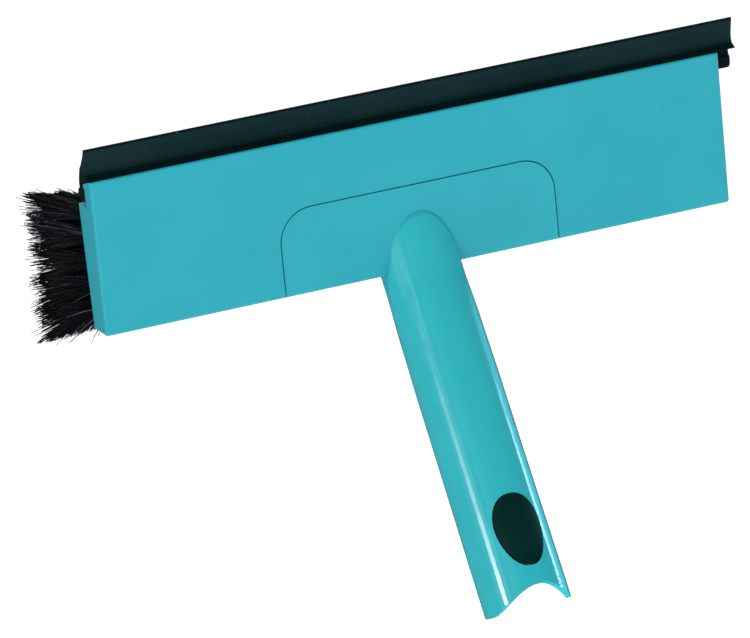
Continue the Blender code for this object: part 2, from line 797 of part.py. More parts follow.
def make_adapter(finish):
    """Sleeve for the pole, with a flat for the latch, a slot below its arm and two pivot lugs."""
    end = HANDLE_LENGTH
    seat = ADAPTER_START + ADAPTER_END_WALL
    profile = [
        (0, end),
        (ADAPTER_RADIUS, end),
        (ADAPTER_RADIUS, ADAPTER_START),
        (0, ADAPTER_START),
    ]
    adapter = turned("pole_adapter", profile, HANDLE_FRAME)
    pole_bore = cylinder(
        "pole_bore",
        POLE_BORE_RADIUS,
        (0, 0, seat),
        (0, 0, end + BEYOND),
        HANDLE_FRAME,
        ROUND_SIDES,
    )
    flat = box(
        "latch_flat",
        (-ADAPTER_RADIUS, ADAPTER_FLOOR, ARM_START - FLAT_MARGIN),
        (ADAPTER_RADIUS, BEYOND, end + BEYOND),
        HANDLE_FRAME,
    )
    slot = box(
        "arm_slot",
        (-ARM_HALF - FIT_GAP, 0, ARM_START - ARM_ROOM),
        (ARM_HALF + FIT_GAP, BEYOND, PIVOT_AT + BARREL_RADIUS + ARM_ROOM),
        HANDLE_FRAME,
    )
    cut(adapter, flat)
    lug_inside = ARM_HALF + FIT_GAP
    lug_outside = lug_inside + LUG_THICKNESS
    lug_top = sqrt(ADAPTER_RADIUS**2 - lug_outside**2) - FIT_GAP
    for side in (-1, 1):
        across = sorted((side * lug_inside, side * lug_outside))
        lug = box(
            f"pivot_lug_{'left' if side < 0 else 'right'}",
            (across[0], ADAPTER_FLOOR - OVERLAP, PIVOT_AT - LUG_LENGTH / 2),
            (across[1], lug_top, PIVOT_AT + LUG_LENGTH / 2),
            HANDLE_FRAME,
        )
        join(adapter, lug)
    pin_hole = cylinder(
        "lug_pin_hole",
        PIN_RADIUS + PIN_PLAY,
        (-lug_outside - TRIM, PIVOT_HEIGHT, PIVOT_AT),
        (lug_outside + TRIM, PIVOT_HEIGHT, PIVOT_AT),
        HANDLE_FRAME,
    )
    cut(adapter, pole_bore, slot, pin_hole)
    combine(adapter, mouth_cutter("adapter_mouth", ADAPTER_RECESS), "DIFFERENCE", "MANIFOLD")
    return keep(adapter, finish, SMOOTH_ANGLE)


def pivot_frame():
    """Frame of the latch pivot: the pin's axis along X, seen in the handle frame's directions."""
    return HANDLE_FRAME @ Matrix.Translation((0, PIVOT_HEIGHT, PIVOT_AT))


def move_origin(part, frame):
    """Moves a part's origin to the frame, with the part where it is."""
    part.data.transform(frame.inverted() @ part.matrix_world)
    part.matrix_world = frame


def make_latch(finish):
    """Rocker: a button in the tube's window, an arm over the pivot pin and a tooth for the pole."""
    button_radius = tube_radius(WINDOW_START + WINDOW_LENGTH / 2) - BUTTON_SINK
    button = outline_solid(
        "latch_button",
        egg_outline(BUTTON_GAP, BUTTON_GAP),
        -2 * MOUTH_RADIUS,
        -BUTTON_UNDERSIDE,
        WINDOW_FRAME,
    )
    crown = cylinder(
        "button_crown", button_radius, (0, 0, 0), (0, 0, HANDLE_LENGTH), HANDLE_FRAME, 2 * ROUND_SIDES
    )
    combine(button, crown, "INTERSECT")
    front_end = WINDOW_START + BUTTON_GAP + ARM_UNDER_BUTTON
    front_arm = box(
        "front_arm",
        (-ARM_HALF, ARM_BOTTOM + FIT_GAP, PIVOT_AT),
        (ARM_HALF, PIVOT_HEIGHT + BARREL_RADIUS, front_end),
        HANDLE_FRAME,
    )
    tail = box(
        "tail_arm",
        (-ARM_HALF, ARM_BOTTOM, ARM_START),
        (ARM_HALF, ARM_TAIL_TOP, PIVOT_AT),
        HANDLE_FRAME,
    )
    tooth = box(
        "tooth",
        (-ARM_HALF, POLE_BORE_RADIUS - TOOTH_ENGAGEMENT, ARM_START),
        (ARM_HALF, ARM_BOTTOM + OVERLAP, TOOTH_END),
        HANDLE_FRAME,
    )
    barrel = cylinder(
        "barrel",
        BARREL_RADIUS,
        (-ARM_HALF, PIVOT_HEIGHT, PIVOT_AT),
        (ARM_HALF, PIVOT_HEIGHT, PIVOT_AT),
        HANDLE_FRAME,
    )
    pin_hole = cylinder(
        "arm_pin_hole",
        PIN_RADIUS + PIN_PLAY,
        (-ARM_WIDTH, PIVOT_HEIGHT, PIVOT_AT),
        (ARM_WIDTH, PIVOT_HEIGHT, PIVOT_AT),
        HANDLE_FRAME,
    )
    spring_pocket = cylinder(
        "spring_pocket",
        SPRING_RADIUS + SPRING_WIRE_RADIUS + 2 * FIT_GAP,
        (0, ADAPTER_FLOOR, SPRING_AT),
        (0, spring_top() + FIT_GAP, SPRING_AT),
        HANDLE_FRAME,
    )
    join(button, front_arm, tail, tooth, barrel)
    cut(button, pin_hole, spring_pocket)
    part = keep(button, finish, SMOOTH_ANGLE)
    move_origin(part, pivot_frame())
    return part


def spring_top():
    button_radius = tube_radius(WINDOW_START + WINDOW_LENGTH / 2) - BUTTON_SINK
    return button_radius - BUTTON_CROWN - FIT_GAP


def make_pin(finish):
    half = ARM_HALF + FIT_GAP + LUG_THICKNESS
    pin = cylinder(
        "latch_pin",
        PIN_RADIUS,
        (-half, PIVOT_HEIGHT, PIVOT_AT),
        (half, PIVOT_HEIGHT, PIVOT_AT),
        HANDLE_FRAME,
    )
    return keep(pin, finish, SMOOTH_ANGLE)


def make_spring(finish):
    """Coil between the adapter's floor and the button's pocket."""
    low = ADAPTER_FLOOR + FIT_GAP + SPRING_WIRE_RADIUS
    high = spring_top() - SPRING_WIRE_RADIUS
    steps_per_turn = 14
    count = round(SPRING_TURNS * steps_per_turn) + 1
    curve = bpy.data.curves.new("button_spring", "CURVE")
    curve.dimensions = "3D"
    curve.bevel_depth = SPRING_WIRE_RADIUS
    curve.bevel_resolution = 2
    curve.use_fill_caps = True
    spline = curve.splines.new("POLY")
    spline.points.add(count - 1)
    for i, point in enumerate(spline.points):
        turn = 2 * pi * i / steps_per_turn
        height = low + (high - low) * i / (count - 1)
        point.co = (SPRING_RADIUS * cos(turn), height, SPRING_AT + SPRING_RADIUS * sin(turn), 1)
    coil = bpy.data.objects.new("coil_line", curve)
    cutters.objects.link(coil)
    mesh = evaluated_mesh(coil)
    bpy.data.objects.remove(coil)
    weld(mesh)
    return keep(add_object("button_spring", mesh, HANDLE_FRAME), finish, COIL_SMOOTH_ANGLE)


clear_scene()
parts = new_collection("window_squeegee")
cutters = new_collection("cutters")
turquoise = material("turquoise_plastic", (0.035, 0.41, 0.51), 0.42)
glossy_turquoise = material("glossy_turquoise_plastic", (0.04, 0.47, 0.51), 0.22)
blade_rubber = material("black_rubber", (0.008, 0.02, 0.03), 0.5)
block_plastic = material("black_plastic", (0.01, 0.011, 0.012), 0.5)
bristle_fibre = material("black_bristle", (0.008, 0.009, 0.011), 0.4)
green_plastic = material("dark_green_plastic", (0.002, 0.028, 0.025), 0.4)
steel = material("zinc_steel", (0.55, 0.56, 0.57), 0.35, 1.0)

make_shell(turquoise)
make_handle(glossy_turquoise)
make_blade(blade_rubber)
make_block(block_plastic)
make_bristle_rows(bristle_fibre)
make_screws(steel)
make_adapter(green_plastic)
make_latch(green_plastic)
make_pin(steel)
make_spring(steel)
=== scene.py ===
# %% [markdown]
# # A window squeegee: the looks
# The CAD model already holds every solid of this squeegee: the moulded head, the handle with its
# pole socket, the rubber blade and the brush. This script loads that model as a fixed frame and
# gives it what solids lack: thousands of separate bristles, a rubber lip that looks like rubber,
# and moulded plastic whose gloss changes from the satin head to the polished grip.

# %% Load the frame
import random
from math import cos, pi, radians, sin, sqrt

import bmesh
import bpy
from mathutils import Matrix, Vector


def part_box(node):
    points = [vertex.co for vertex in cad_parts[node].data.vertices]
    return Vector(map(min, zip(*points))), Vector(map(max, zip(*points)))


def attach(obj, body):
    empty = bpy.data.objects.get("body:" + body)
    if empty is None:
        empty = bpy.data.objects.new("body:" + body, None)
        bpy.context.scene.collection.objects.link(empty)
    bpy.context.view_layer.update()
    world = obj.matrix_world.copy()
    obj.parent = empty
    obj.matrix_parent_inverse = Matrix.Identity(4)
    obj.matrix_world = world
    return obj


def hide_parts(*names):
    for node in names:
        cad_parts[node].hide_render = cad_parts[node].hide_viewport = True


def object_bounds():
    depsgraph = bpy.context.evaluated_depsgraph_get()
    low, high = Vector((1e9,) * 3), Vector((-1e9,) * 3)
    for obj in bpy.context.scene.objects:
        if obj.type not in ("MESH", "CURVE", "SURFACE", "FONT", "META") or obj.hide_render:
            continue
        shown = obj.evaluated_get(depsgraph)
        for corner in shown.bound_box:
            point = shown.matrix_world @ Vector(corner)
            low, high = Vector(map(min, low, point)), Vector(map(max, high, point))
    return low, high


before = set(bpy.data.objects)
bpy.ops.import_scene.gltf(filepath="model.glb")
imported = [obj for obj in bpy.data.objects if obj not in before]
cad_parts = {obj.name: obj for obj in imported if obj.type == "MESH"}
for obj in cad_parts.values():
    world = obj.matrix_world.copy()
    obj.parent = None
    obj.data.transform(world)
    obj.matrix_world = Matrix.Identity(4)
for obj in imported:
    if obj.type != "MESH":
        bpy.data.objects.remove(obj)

CAD_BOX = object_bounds()
MM = 0.001

# %% [markdown]
# ## Camera
# A product is usually shot with a long lens, because a short one makes parallel edges converge.
# This view looks at the face from the left and above. The camera is also rolled a little, so the
# head rises to the right. All of it hangs on one aim point on the face plane.

# %% Camera
VIEW_YAW = radians(21.79)
VIEW_PITCH = radians(17.51)
VIEW_ROLL = radians(-5.52)
VIEW_DISTANCE = 2.7008
VIEW_LENS = 316.2
AIM_ALONG = -23.7 * MM
AIM_BELOW_ORIGIN = 66.8 * MM
VIEW_REACH = 50


def make_camera():
    """A camera that looks at the aim point from the view's direction and distance, rolled."""
    camera = bpy.data.objects.new("camera", bpy.data.cameras.new("camera"))
    camera.data.lens = VIEW_LENS
    camera.data.clip_end = VIEW_REACH
    bpy.context.scene.collection.objects.link(camera)
    forward = Vector(
        (sin(VIEW_YAW) * cos(VIEW_PITCH), cos(VIEW_YAW) * cos(VIEW_PITCH), -sin(VIEW_PITCH))
    )
    aim = Vector((AIM_ALONG, 0, -AIM_BELOW_ORIGIN))
    level = forward.to_track_quat("-Z", "Y").to_matrix().to_4x4()
    roll = Matrix.Rotation(VIEW_ROLL, 4, "Z")
    camera.matrix_world = Matrix.Translation(aim - forward * VIEW_DISTANCE) @ level @ roll
    bpy.context.scene.camera = camera
    return camera


camera = make_camera()
print("camera at", [round(c, 3) for c in camera.location])

# %% [markdown]
# ## Studio
# The tool is shown on white. Big soft panels at the left, the right and the back light it, and a
# dim white world lifts the shadows. A glossy tube shows its lights as streaks, and where a streak
# falls is a choice of its own, so lighting and reflecting are kept apart: the first three panels
# only light, and the others are seen only in reflections. A narrow one at the left draws the
# bright streak down the polished handle, and bluish ones at the right draw its other edge.

# %% World and panels
WHITE = (1, 1, 1)
EDGE_BLUE = (0.45, 0.75, 1.0)
RIM_BLUE = (0.10, 0.60, 0.85)
WORLD_STRENGTH = 0.12
TOOL_MIDDLE = Vector((0, -0.06, -0.06))
GRIP_MIDDLE = Vector((0, -0.09, -0.09))
# Each panel: name, place and aim in metres, (width, height) in metres, power in watts.
LIGHTING_PANELS = (
    ("key", (-1.75, -2.0, 0.95), TOOL_MIDDLE, (1.6, 1.6), 46),
    ("fill", (1.3, -2.2, 0.3), TOOL_MIDDLE, (1.4, 1.4), 17),
    ("back", (0.6, 2.4, 1.5), TOOL_MIDDLE, (1.6, 1.6), 40),
)
# The same, and then the colour.
REFLECTED_PANELS = (
    ("back_gloss", (0.2, 2.2, 2.0), TOOL_MIDDLE, (1.6, 0.8), 30, WHITE),
    ("streak_low", (-1.42, -0.34, 0.14), GRIP_MIDDLE, (0.035, 0.42), 9.5, WHITE),
    ("streak_high", (-1.42, -0.34, 0.58), GRIP_MIDDLE, (0.10, 0.44), 0.35, WHITE),
    ("edge", (1.45, 0.22, -0.16), GRIP_MIDDLE, (0.06, 0.50), 4.0, EDGE_BLUE),
    ("edge_wide", (1.35, 0.55, 0.05), GRIP_MIDDLE, (0.50, 1.2), 5.0, RIM_BLUE),
)


def make_world():
    """A plain white world, and colours shown as they are."""
    world = bpy.data.worlds.new("studio")
    bpy.context.scene.world = world
    world.use_nodes = True
    background = world.node_tree.nodes["Background"]
    background.inputs["Color"].default_value = (*WHITE, 1)
    background.inputs["Strength"].default_value = WORLD_STRENGTH
    bpy.context.scene.view_settings.view_transform = "Standard"


def add_panel(name, place, aim, size, power, color, reflected):
    """A soft panel, seen only in reflections where reflected is true; otherwise it only lights."""
    light = bpy.data.lights.new(name, "AREA")
    light.shape = "RECTANGLE"
    light.size, light.size_y = size
    light.energy = power
    light.color = color
    panel = bpy.data.objects.new(name, light)
    bpy.context.scene.collection.objects.link(panel)
    turn = (aim - Vector(place)).to_track_quat("-Z", "Y").to_matrix().to_4x4()
    panel.matrix_world = Matrix.Translation(place) @ turn
    panel.visible_diffuse = not reflected
    panel.visible_glossy = reflected


make_world()
for values in LIGHTING_PANELS:
    add_panel(*values, WHITE, reflected=False)
for values in REFLECTED_PANELS:
    add_panel(*values, reflected=True)
print("panels:", len(LIGHTING_PANELS), "that light and", len(REFLECTED_PANELS), "reflected")

# %% [markdown]
# The floor is a sheet of white paper. It could carry the tool and catch its shadow, but then the
# shadow would tint the lower edges. So it lies well below the tool and glows a little, which
# keeps it an even white behind every edge.

# %% Floor
FLOOR_DROP = 0.9
FLOOR_HALF = 20
PAPER = {
    "Base Color": (0.9, 0.9, 0.9, 1),
    "Roughness": 0.9,
    "Emission Color": (*WHITE, 1),
    "Emission Strength": 0.92,
}


def make_floor():
    """A wide sheet of glowing white paper below the tool, which no gloss reflects."""
    shape = bmesh.new()
    bmesh.ops.create_grid(shape, x_segments=1, y_segments=1, size=FLOOR_HALF)
    mesh = bpy.data.meshes.new("floor")
    shape.to_mesh(mesh)
    shape.free()
    floor = bpy.data.objects.new("floor", mesh)
    floor.location.z = CAD_BOX[0][2] - FLOOR_DROP
    bpy.context.scene.collection.objects.link(floor)
    paper = bpy.data.materials.new("white_paper")
    paper.use_nodes = True
    shader = paper.node_tree.nodes["Principled BSDF"]
    for socket, value in PAPER.items():
        shader.inputs[socket].default_value = value
    mesh.materials.append(paper)
    floor.visible_glossy = False
    return floor


floor = make_floor()
print("floor at", round(floor.location.z, 3))

# %% [markdown]
# ## Nodes as arithmetic
# A material is a graph of nodes, and most of the graph here is plain arithmetic on masks and noise.
# Drawn by hand it is hard to read, so a small class wraps one output socket and overloads the
# operators: `1 - mask` or `speck * 0.3` adds the Math node that does it. Every other node comes
# from one method, which takes the node's type, its settings, and the values or links of its
# sockets.

# %% The wire and the finish
class Wire:
    """One output of a node, which can be used in arithmetic."""

    def __init__(self, finish, socket):
        self.finish = finish
        self.socket = socket

    def math(self, operation, *values):
        inputs = dict(enumerate(values))
        return self.finish.node("ShaderNodeMath", {"operation": operation}, inputs)

    def __add__(self, other):
        return self.math("ADD", self, other)

    __radd__ = __add__

    def __sub__(self, other):
        return self.math("SUBTRACT", self, other)

    def __rsub__(self, other):
        return self.math("SUBTRACT", other, self)

    def __mul__(self, other):
        return self.math("MULTIPLY", self, other)

    __rmul__ = __mul__

    def size(self):
        """The value without its sign."""
        return self.math("ABSOLUTE", self)


class Finish:
    """A material made of nodes, built up call by call around one Principled shader."""

    def __init__(self, name, **constants):
        self.material = bpy.data.materials.new(name)
        self.material.use_nodes = True
        self.tree = self.material.node_tree
        self.shader = self.tree.nodes["Principled BSDF"]
        for socket, value in constants.items():
            self.shader.inputs[socket.replace("_", " ")].default_value = value
        self.place = self.node("ShaderNodeTexCoord", output="Object")

    def node(self, kind, settings=None, inputs=None, output=0):
        """Adds a node: settings first, then its inputs, by name or number, as values or wires."""
        made = self.tree.nodes.new(kind)
        for key, value in (settings or {}).items():
            if key == "stops":
                self.set_stops(made.color_ramp, value)
            else:
                setattr(made, key, value)
        for key, value in (inputs or {}).items():
            if isinstance(value, Wire):
                self.tree.links.new(value.socket, made.inputs[key])
            else:
                made.inputs[key].default_value = value
        return Wire(self, made.outputs[output])

    def set_stops(self, ramp, stops):
        while len(ramp.elements) < len(stops):
            ramp.elements.new(1)
        for element, (position, color) in zip(ramp.elements, stops):
            element.position = position
            element.color = (*color, 1)

    def feed(self, socket, wire):
        self.tree.links.new(wire.socket, self.shader.inputs[socket])

    def along(self, axis):
        """The place on the surface along X, Y or Z, in metres."""
        return self.node("ShaderNodeSeparateXYZ", inputs={0: self.place}, output=axis)

    def noise(self, grain, detail=2, stretch=(1, 1, 1)):
        """Noise from 0 to 1 with spots about one grain across; stretch above 1 lengthens them."""
        scale = tuple(1 / (grain * s) for s in stretch)
        scaled = self.node("ShaderNodeMapping", inputs={"Vector": self.place, "Scale": scale})
        return self.node("ShaderNodeTexNoise", inputs={"Vector": scaled, "Scale": 1, "Detail": detail})

    def step(self, value, low, high, start=0.0, end=1.0):
        """A smooth step: start below low, end above high."""
        return self.node(
            "ShaderNodeMapRange",
            {"interpolation_type": "SMOOTHSTEP"},
            {"Value": value, "From Min": low, "From Max": high, "To Min": start, "To Max": end},
        )

    def blend(self, factor, first, second):
        """One colour over another, by a factor."""
        colors = {
            key: value if isinstance(value, Wire) else (*value, 1)
            for key, value in ((6, first), (7, second))
        }
        return self.node("ShaderNodeMix", {"data_type": "RGBA"}, {0: factor, **colors}, output=2)

    def clouds(self, grain, first, second, share):
        """One colour that drifts towards another, by up to this share, in soft clouds."""
        return self.blend(self.step(self.noise(grain), 0.3, 0.7, 0.0, share), first, second)

    def ramp(self, value, stops):
        """A colour that runs through these stops, each a position and a colour."""
        return self.node("ShaderNodeValToRGB", {"stops": stops}, {0: value})

    def relief(self, height, depth, strength):
        """Bump whose height of 1 stands for this depth in metres."""
        bump = self.node(
            "ShaderNodeBump",
            inputs={"Height": height, "Distance": depth, "Strength": strength},
        )
        self.feed("Normal", bump)

    def on(self, *names):
        """Puts this finish on CAD nodes, in every material slot that they have."""
        for name in names:
            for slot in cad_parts[name].material_slots:
                slot.material = self.material


print("wires and finishes ready")

# %% [markdown]
# ## Satin turquoise: the head
# The shell is injection-moulded ABS from a lightly blasted steel mould. That leaves an even satin
# skin: very fine grain, slow swells where the plastic shrank over its ribs, and a colour that
# hardly changes. Its bottom and end edges are painted paler, a painted highlight for the light
# their rounding catches, and handling has left faint scuffs in two places. All of it is placed by
# the object's own coordinates in metres, so the grain has its real size.

# %% Satin turquoise
SATIN = (0.019, 0.333, 0.412)
SATIN_LIGHT = (0.027, 0.385, 0.470)
SATIN_DEEP = (0.010, 0.265, 0.335)
SATIN_ROUGHNESS = 0.40
GRAIN = 0.28 * MM
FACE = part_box("head_shell")
FACE_LEFT, FACE_RIGHT = FACE[0][0], FACE[1][0]
FACE_BOTTOM, FACE_TOP = FACE[0][2], FACE[1][2]
RUB_PLACE = (FACE_RIGHT - 22 * MM, -7 * MM)
RUB_RADIUS = 12 * MM
CORNER_PLACE = (FACE_LEFT + 9 * MM, FACE_BOTTOM + 3 * MM)
CORNER_RADIUS = 3 * MM
print("face from", FACE_LEFT, "to", FACE_RIGHT, "bottom", FACE_BOTTOM, "top", FACE_TOP)


def near(finish, x, z, place, radius):
    """A soft round patch, 1 at a place on the face and 0 beyond its radius."""
    across = (x - place[0]) * (x - place[0])
    up = (z - place[1]) * (z - place[1])
    return finish.step(across + up, 0, radius * radius, 1, 0)


def satin_finish():
    """Satin plastic with fine grain, edges painted paler as highlights, and scuffs on the front in two
    places.
    """
    finish = Finish("satin_turquoise", Specular_IOR_Level=0.25)
    x, y, z = (finish.along(axis) for axis in "XYZ")
    grain = finish.noise(GRAIN)
    swell = finish.noise(21 * MM, 1)
    hairline = finish.step(finish.noise(0.35 * MM, 1, (60, 1, 1.6)), 0.70, 0.80)
    front = finish.step(y, 0.1 * MM, 0.9 * MM, 1, 0)
    foot_painted_light = finish.step(z, FACE_BOTTOM, FACE_BOTTOM + 1.6 * MM, 1, 0)
    end_highlight = finish.step(x.size(), FACE_RIGHT - 1.8 * MM, FACE_RIGHT - 0.3 * MM)
    rub = near(finish, x, z, RUB_PLACE, RUB_RADIUS)
    corner = near(finish, x, z, CORNER_PLACE, CORNER_RADIUS)
    smudge = finish.step(finish.noise(2.6 * MM, 3, (1, 1, 2.2)), 0.56, 0.74)
    scuff = front * smudge * (rub * 0.5 + corner * 0.6)
    color = finish.clouds(38 * MM, SATIN, SATIN_LIGHT, 0.22)
    # Painted highlight: the bottom edge and both end edges are lightened, standing for the light their
    # rounding catches.
    color = finish.blend((foot_painted_light + end_highlight) * 0.16, color, SATIN_LIGHT)
    finish.feed("Base Color", finish.blend(scuff, color, SATIN_DEEP))
    roughness = SATIN_ROUGHNESS + 0.10 * grain - 0.06 * hairline - 0.05 * foot_painted_light + 0.05 * scuff
    finish.feed("Roughness", roughness)
    finish.relief(grain * 0.5 + swell * 2.4 - hairline * 0.2, 0.02 * MM, 0.55)
    return finish


satin = satin_finish()
satin.on("head_shell")
print("satin on head_shell:", len(satin.tree.nodes), "shader nodes")

# %% [markdown]
# ## Polished turquoise: the handle
# The handle is one moulding, plate and tube together. Its plate is as satin as the shell, in a
# colour set a little apart from the shell's, because this shader reflects more. The tube is the
# grip, so its half of the mould was polished: it is glossy, and its slow sink waves bend the long
# reflections. Its colour is painted lighter and a touch greener than the plate's, a painted sheen
# for the light the glossy tube catches. One material does both: a mask fades from satin to gloss
# where the tube rises out of the face.

# %% Polished turquoise
# Both tube colours are the plate's turquoise painted lighter and greener: a painted sheen for the
# light the glossy tube catches.
GLOSS_LIT = (0.030, 0.465, 0.525)
GLOSS_DEEP = (0.020, 0.400, 0.460)
PLATE = (0.012, 0.345, 0.425)
PLATE_LIGHT = (0.020, 0.397, 0.483)
GLOSS_ROUGHNESS = 0.19


def polished_finish():
    """Satin on the plate in the face, and gloss with slow waves on the tube in front of it."""
    finish = Finish("polished_turquoise", Specular_IOR_Level=0.5)
    on_tube = finish.step(finish.along("Y"), -1.6 * MM, -0.15 * MM, 1, 0)
    on_plate = 1 - on_tube
    grain = finish.noise(GRAIN)
    wave = finish.noise(15 * MM, 1, (1, 1, 1.7))
    fine_wave = finish.noise(4 * MM)
    hairline = finish.step(finish.noise(0.5 * MM, 1, (1, 1, 28)), 0.68, 0.80)
    rub = finish.step(finish.noise(6 * MM, 3), 0.48, 0.70)
    plate_color = finish.clouds(30 * MM, PLATE, PLATE_LIGHT, 0.22)
    # Painted sheen: the tube is coloured lighter and greener than the plate, standing for its
    # reflections.
    tube_lit_color = finish.clouds(30 * MM, GLOSS_LIT, GLOSS_DEEP, 0.25)
    finish.feed("Base Color", finish.blend(on_tube, plate_color, tube_lit_color))
    plate_roughness = SATIN_ROUGHNESS + 0.10 * grain
    tube_roughness = GLOSS_ROUGHNESS + 0.05 * rub + 0.05 * hairline
    finish.feed("Roughness", plate_roughness * on_plate + tube_roughness * on_tube)
    tube_height = wave * 9 + fine_wave * 0.7 - hairline * 0.1
    finish.relief(grain * 0.5 * on_plate + tube_height * on_tube, 0.02 * MM, 0.6)
    return finish


polished = polished_finish()
polished.on("handle")
print("polished on handle:", len(polished.tree.nodes), "shader nodes")

# %% [markdown]
# ## Rubber: the blade
# The blade is extruded rubber, so it carries faint draw lines along its length. It is nearly
# black with a blue-green cast, softly matt, and it holds a little pale dust. The lines are noise
# stretched over a hundred times along X; the dust is noise with a high threshold, so only its
# rare peaks show. The colour pales towards the tip. The cut edge at the top and the foot by the
# face are painted darker, a painted shade where little light gets in.

# %% Rubber
RUBBER = (0.0022, 0.0180, 0.0215)
RUBBER_PALE = (0.0060, 0.0260, 0.0300)
RUBBER_SHADE = (0.0004, 0.0045, 0.0050)
DUST = (0.07, 0.13, 0.15)
BLADE_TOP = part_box("rubber_blade")[1][2]


def rubber_finish():
    """Nearly black rubber with draw lines along it, paler towards the tip, with painted shade at its
    top edge and foot, and flecked with dust.
    """
    finish = Finish("blade_rubber", Specular_IOR_Level=0.12)
    z = finish.along("Z")
    draw = finish.noise(0.5 * MM, 2, (120, 1, 1))
    skin = finish.noise(0.2 * MM)
    cloud = finish.noise(24 * MM, 3, (2, 1, 1))
    speck = finish.step(finish.noise(0.9 * MM, 0), 0.845, 0.875)
    tip = finish.step(z, BLADE_TOP - 6 * MM, BLADE_TOP - 1.2 * MM)
    edge = finish.step(z, BLADE_TOP - 1.2 * MM, BLADE_TOP - 0.7 * MM)
    foot_painted_light = finish.step(z, FACE_TOP + 0.5 * MM, FACE_TOP + 4.6 * MM, 1, 0)
    color = finish.blend(finish.step(cloud, 0.35, 0.7, 0, 0.6), RUBBER, RUBBER_PALE)
    color = finish.blend(tip * 0.35, color, RUBBER_PALE)
    # Painted shade: the cut edge at the top and the foot by the face are darkened where little light
    # gets in.
    color = finish.blend(edge * 0.9 + foot_painted_light * 0.75, color, RUBBER_SHADE)
    finish.feed("Base Color", finish.blend(speck * 0.8, color, DUST))
    finish.feed("Roughness", 0.50 + 0.12 * draw + 0.10 * speck - 0.06 * tip)
    finish.relief(draw * 1.4 + skin * 0.5 + speck * 0.8, 0.03 * MM, 0.5)
    return finish


rubber = rubber_finish()
rubber.on("rubber_blade")
print("rubber on rubber_blade:", len(rubber.tree.nodes), "shader nodes")

# %% [markdown]
# ## Black and dark green mouldings
# The brush block behind the shell is polypropylene, black and slightly waxy, with a coarser spark
# eroded grain. The latch button and the pole sleeve are dark green, moulded smoother. They differ
# only in colour, grain and gloss, so one function makes both.

# %% Small mouldings
BLOCK_BLACK = (0.009, 0.010, 0.011)
BLOCK_WORN = (0.022, 0.024, 0.026)
LATCH_GREEN = (0.0003, 0.016, 0.015)
LATCH_WORN = (0.001, 0.030, 0.028)


def moulded_finish(name, color, worn, grain_size, roughness, depth, shine):
    """Grained plastic whose rubbed places are a little paler and smoother."""
    finish = Finish(name, Specular_IOR_Level=shine)
    grain = finish.noise(grain_size, 3)
    rub = finish.step(finish.noise(3 * MM, 3), 0.55, 0.75)
    clouded = finish.clouds(14 * MM, color, worn, 0.5)
    finish.feed("Base Color", finish.blend(rub * 0.3, clouded, worn))
    finish.feed("Roughness", roughness + 0.12 * grain - 0.05 * rub)
    finish.relief(grain, depth, 0.6)
    return finish


block_plastic = moulded_finish(
    "black_block", BLOCK_BLACK, BLOCK_WORN,
    grain_size=0.45 * MM, roughness=0.42, depth=0.03 * MM, shine=0.3,
)
block_plastic.on("brush_block")
green_plastic = moulded_finish(
    "dark_green", LATCH_GREEN, LATCH_WORN,
    grain_size=0.30 * MM, roughness=0.34, depth=0.012 * MM, shine=0.12,
)
green_plastic.on("latch_button", "pole_adapter")
print("moulded:", block_plastic.material.name, green_plastic.material.name)

# %% [markdown]
# ## Zinc-plated steel
# Screws, pin and spring are plated with bright zinc, which is metal with a faint yellow to blue
# bloom and a crystalline mottle. A little dullness gathers in patches.

# %% Zinc
BLOOM_STOPS = [(0.3, (0.50, 0.52, 0.55)), (0.6, (0.62, 0.62, 0.60))]
STEEL_NODES = [
    name for name in sorted(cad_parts)
    if name in ("latch_pin", "button_spring") or name.startswith("block_screw")
]


def zinc_finish():
    """Plated metal: a bloom in its colour, a mottle in its gloss and faint lathe lines."""
    finish = Finish("zinc_steel", Metallic=1.0)
    mottle = finish.noise(0.5 * MM)
    bloom = finish.noise(2.5 * MM)
    turning = finish.noise(0.12 * MM, 1, (1, 1, 8))
    finish.feed("Base Color", finish.ramp(bloom, BLOOM_STOPS))
    finish.feed("Roughness", 0.24 + 0.18 * mottle)
    finish.relief(mottle + turning * 0.5, 0.01 * MM, 0.5)
    return finish


zinc = zinc_finish()
zinc.on(*STEEL_NODES)
print("steel pieces:", len(STEEL_NODES))

# %% [markdown]
# ## Bristles
# The CAD model holds each row as one wedge, which is right for collision and wrong for the eye.
# The real brush has bunches of nylon filament set in five slots, and each filament fans out,
# bends a little its own way, and ends where the trimmer cut it. Hair curves would be quick to
# draw, but a mesh exports and casts proper shadows, so every filament here is a thin tapered
# three-sided tube along a curved path.
#
# Each filament starts in a bunch, aims at its share of the row's fan, and sags between the two by
# a bend of its own. Towards both ends of a row the bunches grow fuller and lean outwards, so the
# brush reaches past the ends of the head. The highest row is trimmed lower, to stay below the
# blade.

# %% Bristle shape
ROWS = sorted(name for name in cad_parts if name.startswith("bristle_row"))
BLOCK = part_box("brush_block")
ROOT_MARGIN = 5.8 * MM
FIRST_ROOT = BLOCK[0][2] + ROOT_MARGIN
ROOT_PITCH = 9 * MM
ROOT_INSET = 2.2 * MM
BUNCH_PITCH = 5.6 * MM
BUNCH_RADIUS = 1.25 * MM
BUNCH_STRETCH = 1.7
FILAMENTS_PER_BUNCH = 34
FILAMENT_RADIUS = 0.26 * MM
TIP_TAPER = 0.55
PATH_STEPS = 6
SIDES = 3
print("rows:", ROWS)

# %% [markdown]
# The path of a filament is a quadratic curve. Its middle control point decides how it looks: kept
# mostly over the root it makes a stiff stalk that turns late, as nylon does, and a random offset
# there keeps neighbours from running parallel.

# %% One filament
STALK = 0.42
STALK_TURN = 0.34
BEND_SPREAD = (0.9, 0.5, 0.8)

chance = random.Random(20)


